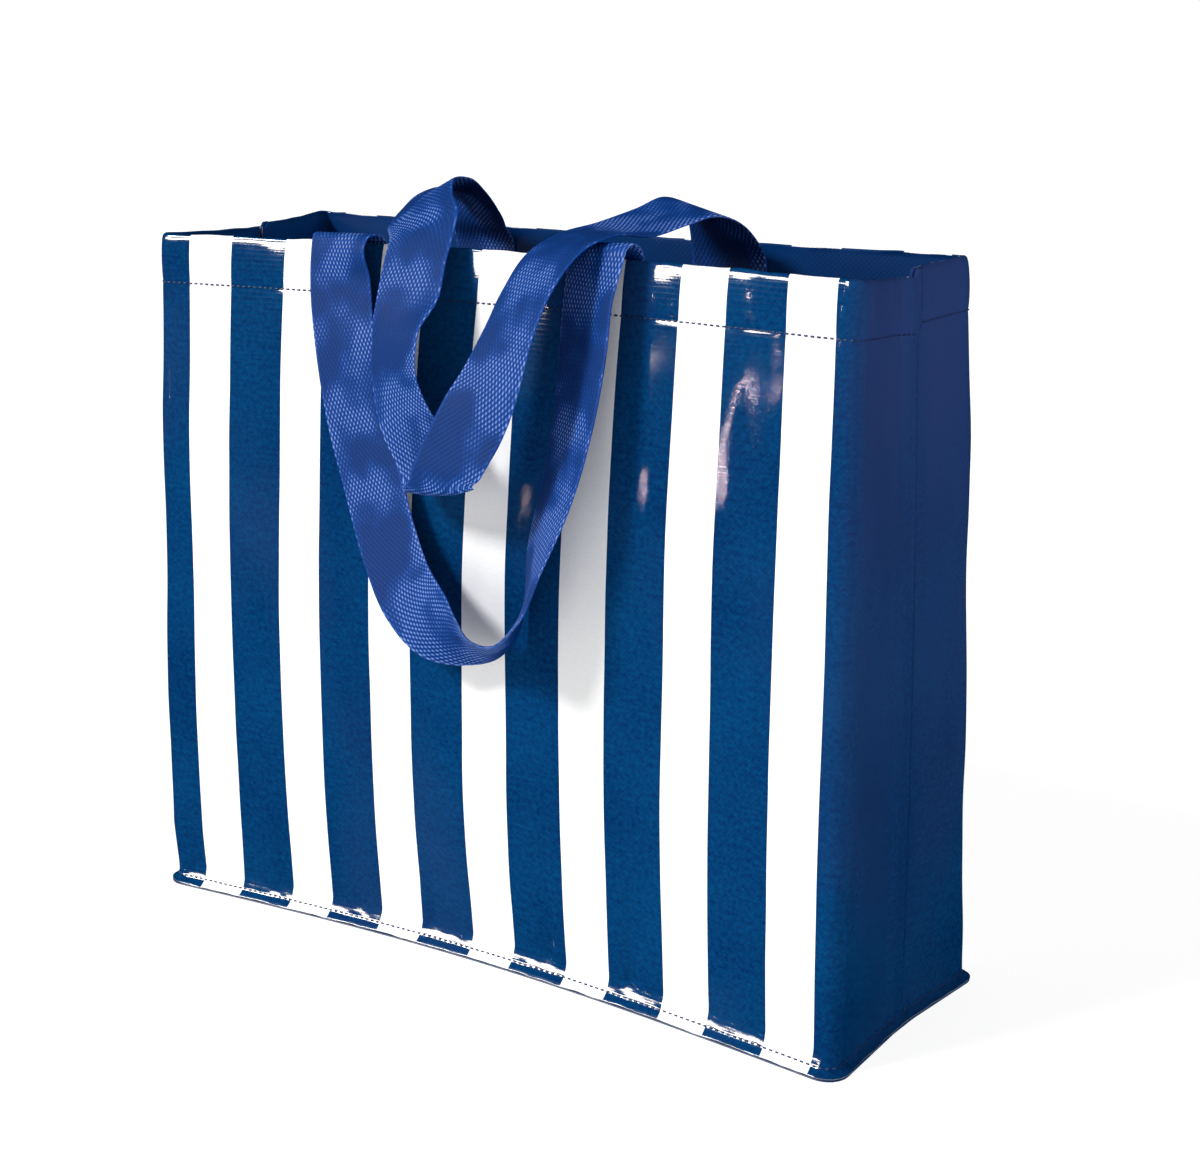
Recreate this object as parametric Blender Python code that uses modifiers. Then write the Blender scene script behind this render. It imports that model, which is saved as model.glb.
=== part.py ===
"""A woven carrier bag with a pinched base seam, a folded hem and two webbing handles.

Front faces -Y, the bag stands on z = 0, and the origin is the middle of its base.
"""

import math

import bmesh
import bpy
from mathutils import Vector

MM = 0.001

# Bag body, in millimetres
WIDTH = 400.0
DEPTH = 137.0
HEIGHT = 358.0
CORNER = 8.0
SHEET = 0.6
CLEAR = 0.3

# Printed stripes on the front and back, left to right
FIRST_BLUE = 21.4
WHITE = 25.4
BLUE = 31.6

# Hem folded inwards at the rim, and the gusset seam
HEM = 27.0
FOLD = 1.6
LAP = 8.0
LAP_RAMP = 8.0
LAP_LIFT = 0.8

# Pinched seam round the base: its stitch line stands off the floor
SEAM_Z = 4.3
FLANGE = 5.5
FLANGE_Z = SHEET + CLEAR + SHEET / 2

# How the soft walls hang: bows inwards at the rim, half height and base
FRONT_BOW = (24.0, 1.2, 14.0)
BACK_BOW = (18.0, 4.0, 10.0)
LEFT_TUCK = 17.0
RIGHT_TUCK = 7.0
HEEL_SPREAD = 9.0
RIM_DRAW = 6.3
LEFT_SPREAD = 4.0

# Rim height of each gusset seam edge and of the back corner, against the front rim
RIM_LEFT_NEAR = 0.0
RIM_LEFT_FAR = 2.2
RIM_RIGHT_NEAR = -4.5
RIM_RIGHT_FAR = -1.0
RIM_BACK_LEFT = 4.0

# Handles
STRAP_WIDTH = 40.0
STRAP = 1.3
STRAP_END = 42.0
STRAP_STEP = 9.0
FRONT_LEGS = (-85.0, 63.0)
BACK_LEGS = (-73.0, 74.0)

# The front handle's loose turn over the rim: how far out and up it goes, and how its right edge swings
STAND_OFF = 8.5
LEFT_RISE = 4.3
RIGHT_RISE = 7.2
LEFT_SWING = 0.17
RIGHT_SWING = 0.33

NEAR = -1
FAR = 1
BLUE_FACE = 0
WHITE_FACE = 1
INSIDE_FACE = 2


def clear_scene():
    for obj in list(bpy.data.objects):
        bpy.data.objects.remove(obj, do_unlink=True)


def make_collection(name):
    collection = bpy.data.collections.new(name)
    bpy.context.scene.collection.children.link(collection)
    return collection


def make_material(name, colour, roughness):
    material = bpy.data.materials.new(name)
    material.use_nodes = True
    shader = material.node_tree.nodes["Principled BSDF"]
    shader.inputs["Base Color"].default_value = (*colour, 1.0)
    shader.inputs["Roughness"].default_value = roughness
    return material


def sheet_object(name, rows, face_kinds, materials, collection):
    """An open sheet of points, row by row, in millimetres."""
    mesh = bpy.data.meshes.new(name)
    bm = bmesh.new()
    verts = [[bm.verts.new(point * MM) for point in row] for row in rows]
    for r in range(len(rows) - 1):
        for c in range(len(rows[0]) - 1):
            corners = (verts[r][c], verts[r][c + 1], verts[r + 1][c + 1], verts[r + 1][c])
            face = bm.faces.new(corners)
            face.material_index = face_kinds(r, c)
            face.smooth = True
    bm.to_mesh(mesh)
    bm.free()
    obj = bpy.data.objects.new(name, mesh)
    for material in materials:
        mesh.materials.append(material)
    collection.objects.link(obj)
    return obj


def thicken(obj, thickness, inner_slot=0):
    """Gives the sheet its thickness, half to each side."""
    solid = obj.modifiers.new("thickness", "SOLIDIFY")
    solid.thickness = thickness * MM
    solid.offset = 0.0
    solid.use_even_offset = True
    solid.material_offset = inner_slot
    solid.material_offset_rim = inner_slot


# Shape of the standing bag


def front_share(x):
    return min(max(x / WIDTH + 0.5, 0.0), 1.0)


def wall_bow(x, share, side):
    """How far a front or back wall bows inwards at this width and share of the height."""
    rim, middle, base = FRONT_BOW if side == NEAR else BACK_BOW
    depth = rim * share**3 + middle * math.sin(math.pi * share) + base * (1.0 - share) ** 3
    return depth * math.sin(math.pi * front_share(x))


def rim_height(x, y):
    """The rim dips and lifts a little from corner to corner."""
    inward = 1.0 - min(abs(y) / (DEPTH / 2), 1.0)
    left = 1.0 - front_share(x)
    near_edge = RIM_LEFT_NEAR if x < 0 else RIM_RIGHT_NEAR
    far_edge = RIM_LEFT_FAR if x < 0 else RIM_RIGHT_FAR
    if abs(x) < WIDTH / 2 - CORNER:
        inward = 0.0
    if y < 0:
        return HEIGHT + near_edge * inward
    corner = RIM_BACK_LEFT * left
    return HEIGHT + far_edge * inward + corner * (1.0 - inward)


def wall_point(x, y, share, side):
    """Moves a point of the plain rounded box to where the soft wall hangs."""
    depth_share = abs(y) / (DEPTH / 2)
    bow = wall_bow(x, share, side) * depth_share**2
    tuck = LEFT_TUCK if x < 0 else RIGHT_TUCK
    reach = (abs(x) / (WIDTH / 2)) ** 8 * math.cos(math.pi * y / (DEPTH + 4 * CORNER)) ** 2
    tuck *= reach * share**2
    spread = 0.0
    if x > 0 and y > 0:
        spread = HEEL_SPREAD * (1.0 - share) ** 1.3 - RIM_DRAW * share**3
    if x < 0 and y < 0:
        spread = -LEFT_SPREAD * (1.0 - share**2) * min(share / 0.08, 1.0)
    spread *= (abs(x) / (WIDTH / 2)) ** 8 * depth_share
    return x - math.copysign(tuck, x) + spread, y - side * bow


def wall_y(x, z, side):
    """Depth of a front or back wall's mid-sheet at this place."""
    share = (z - SEAM_Z) / (rim_height(x, side * DEPTH / 2) - SEAM_Z)
    share = min(max(share, 0.0), 1.0)
    return wall_point(x, side * DEPTH / 2, share, side)[1]


def along_wall(x, z, side):
    """The way the wall runs from left to right at this place."""
    return (2.0, wall_y(x + 1, z, side) - wall_y(x - 1, z, side), 0.0)


def stripe_edges():
    """X of each stripe edge, measured from the middle, as many as the front has room for."""
    room = WIDTH - CORNER - FIRST_BLUE
    count = math.floor((room + BLUE) / (WHITE + BLUE))
    edges = []
    for i in range(count):
        x = FIRST_BLUE - WIDTH / 2 + i * (WHITE + BLUE)
        edges += [x, x + WHITE]
    return edges


def half_outline(side):
    """Stations round half the bag, from the left seam to the right: x, y and outward normal."""
    reach = LAP / 2
    gusset = [-reach, 0.0, reach + 2, reach + 2 + LAP_RAMP, 0.3 * DEPTH, DEPTH / 2 - CORNER]
    corner_angles = [22.5, 45.0, 67.5]
    stations = []
    for y in gusset:
        stations.append((-WIDTH / 2, side * y, -1.0, 0.0))
    for angle in corner_angles:
        a = math.radians(angle)
        x = -WIDTH / 2 + CORNER * (1 - math.cos(a))
        y = DEPTH / 2 - CORNER * (1 - math.sin(a))
        stations.append((x, side * y, -math.cos(a), side * math.sin(a)))
    edges = [CORNER - WIDTH / 2, *stripe_edges(), WIDTH / 2 - CORNER]
    for left, right in zip(edges[:-1], edges[1:]):
        stations.append((left, side * DEPTH / 2, 0.0, float(side)))
        if right - left > BLUE / 2:
            stations.append(((left + right) / 2, side * DEPTH / 2, 0.0, float(side)))
    stations.append((edges[-1], side * DEPTH / 2, 0.0, float(side)))
    for x, y, nx, ny in reversed(stations[: len(gusset) + len(corner_angles)]):
        stations.append((-x, y, -nx, ny))
    return stations


def lap_offset(y, side, in_hem):
    """The near half's seam edge lies outside the far half's."""
    start = LAP / 2 + 2
    if side == FAR or abs(y) >= start + LAP_RAMP:
        return 0.0
    full = SHEET + CLEAR
    if in_hem:
        full += FOLD
    ramp = (start + LAP_RAMP - max(-y, start)) / LAP_RAMP
    return full * ramp


def body_rows(side):
    """Rows of points from the tip of the base seam, up the wall and down the folded hem."""
    stations = half_outline(side)
    rows = []

    def add_row(share, out, drop, flange_z=None, in_hem=False):
        row = []
        for x, y, nx, ny in stations:
            top = rim_height(x, y)
            z = SEAM_Z + share * (top - SEAM_Z) - drop
            wx, wy = wall_point(x, y, (z - SEAM_Z) / (top - SEAM_Z), side)
            lap = lap_offset(y, side, in_hem) if abs(nx) == 1.0 else 0.0
            if flange_z is not None:
                z = flange_z
            if share == 0.0:
                z += LAP_LIFT * lap
            row.append(Vector((wx + nx * (out + lap), wy + ny * (out + lap), z)))
        rows.append(row)

    add_row(0.0, FLANGE, 0.0, flange_z=FLANGE_Z)
    add_row(0.0, FLANGE * 0.5, 0.0, flange_z=(FLANGE_Z + SEAM_Z) / 2)
    for share in (0.0, 0.03, 0.1, 0.22, 0.36, 0.5, 0.64, 0.78, 0.88):
        add_row(share, 0.0, 0.0)
    for drop in (HEM + 4.0, HEM, HEM / 2, FOLD / 2):
        add_row(1.0, 0.0, drop, in_hem=drop <= HEM)
    add_row(1.0, -FOLD / 2, 0.0, in_hem=True)
    for drop in (FOLD / 2, HEM / 2, HEM):
        add_row(1.0, -FOLD, drop, in_hem=True)
    return rows


def make_body_half(name, side, materials, collection):
    rows = body_rows(side)
    stations = half_outline(side)
    hem_row = len(rows) - 4
    edges = stripe_edges()

    def face_kind(row, column):
        if row >= hem_row:
            return INSIDE_FACE
        x = (stations[column][0] + stations[column + 1][0]) / 2
        for left, right in zip(edges[::2], edges[1::2]):
            if left < x < right:
                return WHITE_FACE
        return BLUE_FACE

    if side == FAR:
        rows = [row[::-1] for row in rows]
        stations = stations[::-1]
    obj = sheet_object(name, rows, face_kind, materials, collection)
    thicken(obj, SHEET, inner_slot=INSIDE_FACE)
    return obj


def make_base(name, material, collection):
    """One flat sheet out to the edge of the pinched seam."""
    loop = []
    for side in (NEAR, FAR):
        half = [s for s in half_outline(side) if side * s[1] > LAP]
        if side == FAR:
            half.reverse()
        for x, y, nx, ny in half:
            wx, wy = wall_point(x, y, 0.0, side)
            loop.append(Vector((wx + nx * FLANGE, wy + ny * FLANGE, SHEET / 2)))
    mesh = bpy.data.meshes.new(name)
    bm = bmesh.new()
    bm.faces.new([bm.verts.new(point * MM) for point in loop])
    bm.to_mesh(mesh)
    bm.free()
    mesh.materials.append(material)
    obj = bpy.data.objects.new(name, mesh)
    collection.objects.link(obj)
    thicken(obj, SHEET)
    return obj


# Handles. A station is the middle of the strap and the way its width points.


def inside_stations(x, side):
    """The sewn end, flat against the inside of the hem, from its cut end to the rim."""
    inset = FOLD + SHEET / 2 + 2 * CLEAR + STRAP / 2
    top = rim_height(x, side * DEPTH / 2)
    found = []
    for drop in (STRAP_END, HEM, 0.63 * HEM, 0.3 * HEM):
        z = top - drop
        found.append(((x, wall_y(x, z, side) - side * inset, z), along_wall(x, z, side)))
    return found


def over_front_rim(x, rise, swing):
    """The loose turn of the strap from inside the hem to the front of the bag."""
    wall = wall_y(x, HEIGHT, NEAR)
    slope = along_wall(x, HEIGHT, NEAR)[1] / 2
    inset = FOLD + SHEET / 2 + 2 * CLEAR + STRAP / 2
    middle = wall + (inset - STAND_OFF) / 2
    radius = (inset + STAND_OFF) / 2
    found = []
    for angle in (0, 45, 90, 135, 180):
        a = math.radians(angle)
        turned = (1 - math.cos(a)) / 2
        place = (x, middle + radius * math.cos(a), HEIGHT + rise * math.sin(a))
        across = (1.0, slope * (1 - turned) - swing * turned, swing * turned / 4)
        found.append((place, across))
    return found


def placed(loop, left, right):
    """Turns shares of half the legs' spacing, half the depth and the height into a place."""
    centre = (left + right) / 2
    reach = (right - left) / 2
    found = []
    for (across_share, depth_share, height_share), across in loop:
        place = (centre + reach * across_share, DEPTH / 2 * depth_share, HEIGHT * height_share)
        found.append((place, across))
    return found


def front_handle_stations():
    """Hangs in front: faces out on the left, turns edge-on at the bottom, leans out on the right."""
    left, right = FRONT_LEGS
    stations = inside_stations(left, NEAR)
    stations += over_front_rim(left, LEFT_RISE, LEFT_SWING)
    loop = [
        ((-0.99, -0.85, 0.950), (1.00, -0.05, 0.08)),
        ((-0.92, -0.90, 0.866), (1.00, -0.05, 0.14)),
        ((-0.80, -0.92, 0.760), (0.96, -0.02, 0.26)),
        ((-0.65, -0.96, 0.676), (0.92, -0.05, 0.38)),
        ((-0.46, -1.04, 0.595), (0.83, -0.03, 0.56)),
        ((-0.22, -1.15, 0.536), (0.66, -0.02, 0.75)),
        ((0.07, -1.26, 0.506), (0.42, -0.18, 0.89)),
        ((0.28, -1.28, 0.494), (0.26, -0.58, 0.77)),
        ((0.45, -1.28, 0.489), (0.18, -0.86, 0.48)),
        ((0.59, -1.26, 0.500), (0.26, -0.95, 0.18)),
        ((0.69, -1.21, 0.536), (0.45, -0.89, 0.03)),
        ((0.77, -1.15, 0.615), (0.68, -0.73, -0.04)),
        ((0.88, -1.08, 0.701), (0.79, -0.60, -0.05)),
        ((0.96, -1.01, 0.796), (0.86, -0.51, -0.01)),
        ((0.98, -0.93, 0.888), (0.90, -0.42, 0.04)),
        ((0.98, -0.87, 0.953), (0.91, -0.40, 0.05)),
    ]
    stations += placed(loop, left, right)
    stations += over_front_rim(right, RIGHT_RISE, RIGHT_SWING)[::-1]
    stations += inside_stations(right, NEAR)[::-1]
    return stations


def back_handle_stations():
    """Reaches forwards over the bag, folds back on itself in front and returns to the back."""
    left, right = BACK_LEGS
    stations = inside_stations(left, FAR)
    loop = [
        ((-0.99, 0.64, 1.011), (0.98, -0.18, -0.02)),
        ((-0.93, 0.51, 1.042), (0.92, -0.38, -0.10)),
        ((-0.88, 0.26, 1.064), (0.93, -0.32, -0.02)),
        ((-0.86, 0.00, 1.071), (0.94, -0.13, 0.24)),
        ((-0.82, -0.26, 1.064), (0.88, -0.09, 0.43)),
        ((-0.70, -0.51, 1.046), (0.92, -0.04, 0.36)),
        ((-0.56, -0.70, 1.022), (0.96, 0.03, 0.22)),
        ((-0.52, -0.86, 0.978), (0.98, -0.02, 0.17)),
        ((-0.50, -0.98, 0.930), (0.98, -0.05, 0.18)),
        ((-0.53, -1.07, 0.885), (0.91, -0.30, 0.26)),
        ((-0.54, -1.08, 0.832), (0.90, -0.34, 0.28)),
        ((-0.46, -1.09, 0.782), (0.90, -0.25, 0.36)),
        ((-0.31, -1.11, 0.743), (0.93, -0.21, 0.26)),
        ((-0.18, -1.14, 0.716), (0.96, -0.20, 0.18)),
        ((-0.10, -1.20, 0.701), (0.97, -0.20, 0.13)),
        ((-0.05, -1.27, 0.696), (0.97, -0.20, 0.10)),
        ((0.01, -1.34, 0.701), (0.97, -0.18, 0.06)),
        ((0.06, -1.36, 0.719), (0.97, -0.15, -0.02)),
        ((0.13, -1.36, 0.746), (0.95, -0.15, -0.14)),
        ((0.25, -1.34, 0.793), (0.93, -0.13, -0.30)),
        ((0.37, -1.30, 0.846), (0.95, -0.26, -0.18)),
        ((0.44, -1.21, 0.905), (0.93, -0.36, 0.02)),
        ((0.51, -1.07, 0.964), (0.93, -0.34, 0.12)),
        ((0.59, -0.88, 1.008), (0.96, -0.26, 0.12)),
        ((0.67, -0.64, 1.027), (0.96, -0.24, 0.05)),
        ((0.76, -0.29, 1.031), (0.95, -0.30, -0.10)),
        ((0.85, 0.06, 1.045), (0.94, -0.33, -0.13)),
        ((0.93, 0.29, 1.056), (0.92, -0.34, -0.18)),
        ((0.99, 0.51, 1.042), (0.94, -0.31, -0.13)),
        ((1.00, 0.63, 1.017), (0.98, -0.16, -0.03)),
    ]
    stations += placed(loop, left, right)
    stations += inside_stations(right, FAR)[::-1]
    return stations


def smooth_between(a, b, slope_a, slope_b, span, t):
    """Cubic between two stations with the slopes given at its ends."""
    h01 = t * t * (3 - 2 * t)
    h10 = t * (1 - t) ** 2
    h11 = t * t * (t - 1)
    return a * (1 - h01) + b * h01 + (slope_a * h10 + slope_b * h11) * span


def fair_path(stations):
    """Middle points and width directions along a smooth curve through the stations."""
    middles = [Vector(middle) for middle, _ in stations]
    acrosses = [Vector(across).normalized() for _, across in stations]
    spans = [(b - a).length for a, b in zip(middles[:-1], middles[1:])]

    def slopes(values):
        found = [(values[1] - values[0]) / spans[0]]
        for i in range(1, len(values) - 1):
            before = (values[i] - values[i - 1]) / spans[i - 1]
            after = (values[i + 1] - values[i]) / spans[i]
            total = spans[i - 1] + spans[i]
            found.append((before * spans[i] + after * spans[i - 1]) / total)
        found.append((values[-1] - values[-2]) / spans[-1])
        return found

    middle_slopes = slopes(middles)
    across_slopes = slopes(acrosses)
    path = []
    for i, span in enumerate(spans):
        steps = math.ceil(span / STRAP_STEP)
        for step in range(steps):
            t = step / steps
            middle = smooth_between(
                middles[i], middles[i + 1], middle_slopes[i], middle_slopes[i + 1], span, t
            )
            across = smooth_between(
                acrosses[i], acrosses[i + 1], across_slopes[i], across_slopes[i + 1], span, t
            )
            path.append((middle, across))
    path.append((middles[-1], acrosses[-1]))
    return path


def make_strap(name, stations, material, collection):
    path = fair_path(stations)
    rows = []
    for i, (middle, across) in enumerate(path):
        before = path[max(i - 1, 0)][0]
        after = path[min(i + 1, len(path) - 1)][0]
        along = (after - before).normalized()
        across = across.normalized()
        square = math.sqrt(max(1 - across.dot(along) ** 2, 0.5))
        half = across * STRAP_WIDTH / 2 / square
        rows.append([middle - half, middle, middle + half])
    obj = sheet_object(name, rows, lambda r, c: 0, [material], collection)
    thicken(obj, STRAP)
    return obj


def main():
    clear_scene()
    bag = make_collection("striped_carrier_bag")
    blue = make_material("blue_film", (0.006, 0.045, 0.2), 0.25)
    white = make_material("white_film", (0.9, 0.9, 0.9), 0.25)
    lining = make_material("inside_weave", (0.01, 0.035, 0.12), 0.6)
    base = make_material("base_film", (0.006, 0.04, 0.17), 0.3)
    front_webbing = make_material("front_webbing", (0.015, 0.05, 0.33), 0.7)
    back_webbing = make_material("back_webbing", (0.015, 0.05, 0.33), 0.7)
    make_body_half("front_panel", NEAR, [blue, white, lining], bag)
    make_body_half("back_panel", FAR, [blue, white, lining], bag)
    make_base("base_panel", base, bag)
    make_strap("front_handle", front_handle_stations(), front_webbing, bag)
    make_strap("back_handle", back_handle_stations(), back_webbing, bag)


main()
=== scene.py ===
"""Looks of the striped woven carrier bag: laminated walls, sewn seams and webbing handles."""

import math

import bpy
import numpy as np
from mathutils import Matrix, Vector


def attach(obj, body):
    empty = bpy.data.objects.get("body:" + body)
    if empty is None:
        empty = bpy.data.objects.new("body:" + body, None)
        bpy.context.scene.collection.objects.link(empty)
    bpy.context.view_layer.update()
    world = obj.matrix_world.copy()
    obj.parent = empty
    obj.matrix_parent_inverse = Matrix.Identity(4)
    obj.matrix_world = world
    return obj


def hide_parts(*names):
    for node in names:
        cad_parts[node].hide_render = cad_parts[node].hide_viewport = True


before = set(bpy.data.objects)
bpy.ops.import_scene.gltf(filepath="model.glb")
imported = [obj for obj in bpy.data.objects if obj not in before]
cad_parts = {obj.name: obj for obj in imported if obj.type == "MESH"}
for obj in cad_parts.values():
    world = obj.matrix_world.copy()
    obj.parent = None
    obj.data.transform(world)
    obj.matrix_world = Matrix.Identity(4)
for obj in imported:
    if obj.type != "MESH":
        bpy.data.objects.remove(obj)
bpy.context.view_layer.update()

MM = 0.001

# The bag as it is in the solids, in millimetres
WIDTH = 400.0
DEPTH = 137.0
HEIGHT = 358.0
CORNER = 8.0
SHEET = 0.6
CLEAR = 0.3
FIRST_BLUE = 21.4
WHITE = 25.4
BLUE = 31.6
HEM = 27.0
FOLD = 1.6
LAP = 8.0
LAP_RAMP = 8.0
LAP_LIFT = 0.8
SEAM_Z = 4.3
FLANGE = 4.0
FLANGE_Z = SHEET + CLEAR + SHEET / 2
FRONT_BOW = (24.0, 1.2, 14.0)
BACK_BOW = (18.0, 4.0, 10.0)
LEFT_TUCK = 17.0
RIGHT_TUCK = 7.0
HEEL_SPREAD = 9.0
RIM_DRAW = 6.3
LEFT_SPREAD = 4.0
RIM_LEFT_NEAR = 0.0
RIM_LEFT_FAR = 2.2
RIM_RIGHT_NEAR = -4.5
RIM_RIGHT_FAR = -1.0
RIM_BACK_LEFT = 4.0
STRAP_WIDTH = 40.0
STRAP = 1.3
STRAP_END = 42.0
FRONT_LEGS = (-85.0, 63.0)
BACK_LEGS = (-73.0, 74.0)
STAND_OFF = 8.5
LEFT_RISE = 4.3
RIGHT_RISE = 7.2
LEFT_SWING = 0.17
RIGHT_SWING = 0.33
NEAR = -1
FAR = 1

# Sewing
HEM_STITCH_DROP = 25.0
STITCH_PITCH = 3.3
STITCH_SHARE = 0.84
THREAD = 0.45
TRIMMED = 4

# The finer sheets: their thickness, the spacing of their columns and rows, and how they lie
FILM = 0.5
COLUMN_STEP = 1.95
WALL_ROWS = 114
FOOT_ROWS = 10
FOOT_SLOPE = 0.487
RIM_SLOPE = 0.195
HEM_PUFF = 0.55
HEM_CRINKLE = 0.2
WALL_WAVE = 0.9
PRESSED = 0.12

# Places in a wall's list of materials
STRIPE_BLUE = 0
STRIPE_WHITE = 1
LINING = 2
CUT_EDGE = 5

# Camera: place in metres, the way it looks, and its lens and centre in the photograph's pixels
IMAGE_WIDTH = 1200
IMAGE_HEIGHT = 1174
LENS_PIXELS = 2029.332
CENTRE_ACROSS = 499.996
CENTRE_DOWN = 469.972
SENSOR = 36.0
CAMERA_PLACE = (0.54966, -0.84018, 0.4473)
CAMERA_RIGHT = (0.82387, 0.56677, 0.00224)
CAMERA_DOWN = (0.11424, -0.16219, -0.98012)
CAMERA_FORWARD = (-0.55514, 0.80775, -0.19837)

# Studio
KEY_FROM = (-0.45, -0.65, 0.61)
KEY_STRENGTH = 2.95
SKY = 0.34
FLOOR_GLOW = 0.85
LOW_FROM = (-0.555, -0.771, 0.315)
LOW_POWER = 330.0
LOW_SIZE = (3.2, 1.0)
LOW_DISTANCE = 5.0
FILL_FROM = (0.95, 0.12, 0.28)
FILL_STRENGTH = 1.1
FLOOR_REACH = 30000

# Far lamps mirrored in the film: name, place on the front, angle, brightness and colour
GLINTS = (
    ("glint_upper", 83.0, 314.0, 0.9, 130.0, (1.0, 0.8, 0.7)),
    ("glint_right", 129.0, 296.0, 0.45, 260.0, (1.0, 0.75, 0.72)),
)

# Webbing
PEBBLE_ACROSS = 2.4
PEBBLE_ALONG = 2.0
PEBBLE_LIFT = 0.1
STRAP_STEP = 1.0
STRAP_COLUMNS = 61

# Printed films: the ink, the other shade that it drifts to, and a painted reflection tint laid over
# parts of it
BLUE_INKS_AND_REFLECTION = ((0.001, 0.022, 0.095), (0.001, 0.052, 0.16), (0.02, 0.04, 0.14))
WHITE_INKS_AND_REFLECTION = ((0.9, 0.9, 0.9), (0.93, 0.93, 0.93), (0.9, 0.91, 0.93))
NAVY_INKS_AND_REFLECTION = ((0.001, 0.025, 0.11), (0.001, 0.035, 0.13), (0.004, 0.02, 0.1))
# painted shade: the colour that the right gusset darkens to towards its bottom
GUSSET_PAINTED_SHADE = (0.0, 0.006, 0.03)

# Woven tapes under the film, in millimetres, and where the right gusset begins along the sheet, in
# metres, for its painted reflection and painted shade
TAPE = 1.3
RIBS = 2.4
GUSSET_FROM = 0.462
GUSSET_TO = 0.478


def link(obj):
    bpy.context.scene.collection.objects.link(obj)
    return obj


def mesh_object(name, points, faces):
    mesh = bpy.data.meshes.new(name)
    mesh.from_pydata([tuple(p) for p in np.asarray(points) * MM], [], faces)
    mesh.update()
    mesh.polygons.foreach_set("use_smooth", [True] * len(mesh.polygons))
    return link(bpy.data.objects.new(name, mesh))


def lay_out(mesh, places):
    """Gives every point its place on the flat piece, as the coordinates that the weave follows."""
    loops = np.zeros(len(mesh.loops), np.int32)
    mesh.loops.foreach_get("vertex_index", loops)
    cloth = mesh.uv_layers.new(name="cloth_way")
    cloth.uv.foreach_set("vector", (places[loops] * MM).astype(np.float32).ravel())


def thicken(obj):
    solid = obj.modifiers.new("thickness", "SOLIDIFY")
    solid.thickness = FILM * MM
    solid.offset = 0.0
    return solid


def waves(seed, across, along, count=14):
    """A gentle random field of two coordinates, about -1 to 1, with features of the given sizes."""
    pick = np.random.default_rng(seed)
    ku = pick.normal(0.0, 1.0, count) * 2 * math.pi / (2.6 * across)
    kv = pick.normal(0.0, 1.0, count) * 2 * math.pi / (2.6 * along)
    phase = pick.uniform(0.0, 2 * math.pi, count)

    def field(u, v):
        total = np.zeros(np.broadcast(u, v).shape)
        for a, b, c in zip(ku, kv, phase):
            total += np.cos(a * u + b * v + c)
        return total * math.sqrt(2.0 / count) * 0.6

    return field


# Shape of the standing bag


def swell_of(x):
    """Nothing at the corners, full in the middle."""
    return np.sin(math.pi * np.clip(x / WIDTH + 0.5, 0.0, 1.0))


def bow_of(x, share, side):
    """How far the wall draws in at a place, most at the rim and the base."""
    rim, middle, base = FRONT_BOW if side == NEAR else BACK_BOW
    depth = rim * share**3 + middle * np.sin(math.pi * share) + base * (1.0 - share) ** 3
    return depth * swell_of(x)


def rim_of(x, y):
    """Height of the rim above the floor."""
    inward = 1.0 - np.minimum(np.abs(y) / (DEPTH / 2), 1.0)
    inward = np.where(np.abs(x) < WIDTH / 2 - CORNER, 0.0, inward)
    left = 1.0 - np.clip(x / WIDTH + 0.5, 0.0, 1.0)
    near = HEIGHT + np.where(x < 0, RIM_LEFT_NEAR, RIM_RIGHT_NEAR) * inward
    far = HEIGHT + np.where(x < 0, RIM_LEFT_FAR, RIM_RIGHT_FAR) * inward
    far = far + RIM_BACK_LEFT * left * (1.0 - inward)
    return np.where(y < 0, near, far)


def wall_of(x, y, share, side):
    """Where a place on the plain box's outline stands at a share of the height."""
    depth_share = np.abs(y) / (DEPTH / 2)
    bow = bow_of(x, share, side) * depth_share**2
    reach = (np.abs(x) / (WIDTH / 2)) ** 8
    fall = np.cos(math.pi * y / (DEPTH + 4 * CORNER)) ** 2
    tuck = np.where(x < 0, LEFT_TUCK, RIGHT_TUCK) * reach * fall * share**2
    right = HEEL_SPREAD * (1.0 - share) ** 1.3 - RIM_DRAW * share**3
    left = -LEFT_SPREAD * (1.0 - share**2) * np.minimum(share / 0.08, 1.0)
    spread = np.where((x > 0) & (y > 0), right, np.where((x < 0) & (y < 0), left, 0.0))
    return x - np.sign(x) * tuck + spread * reach * depth_share, y - side * bow


def wall_y(x, z, side):
    top = rim_of(np.float64(x), np.float64(side * DEPTH / 2))
    share = min(max((z - SEAM_Z) / (top - SEAM_Z), 0.0), 1.0)
    return float(wall_of(np.float64(x), np.float64(side * DEPTH / 2), share, side)[1])


def along_wall(x, z, side):
    return (2.0, wall_y(x + 1, z, side) - wall_y(x - 1, z, side), 0.0)


def stripe_edges():
    """Both edges of every white stripe, from the left."""
    count = math.floor((WIDTH - CORNER - FIRST_BLUE + BLUE) / (WHITE + BLUE))
    edges = []
    for i in range(count):
        x = FIRST_BLUE - WIDTH / 2 + i * (WHITE + BLUE)
        edges += [x, x + WHITE]
    return edges


def divided(marks, step):
    """Every mark, with evenly spaced places between them no further apart than the step."""
    found = [marks[0]]
    for a, b in zip(marks[:-1], marks[1:]):
        count = max(1, math.ceil(abs(b - a) / step - 1e-6))
        found += [a + (b - a) * i / count for i in range(1, count + 1)]
    return found


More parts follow.
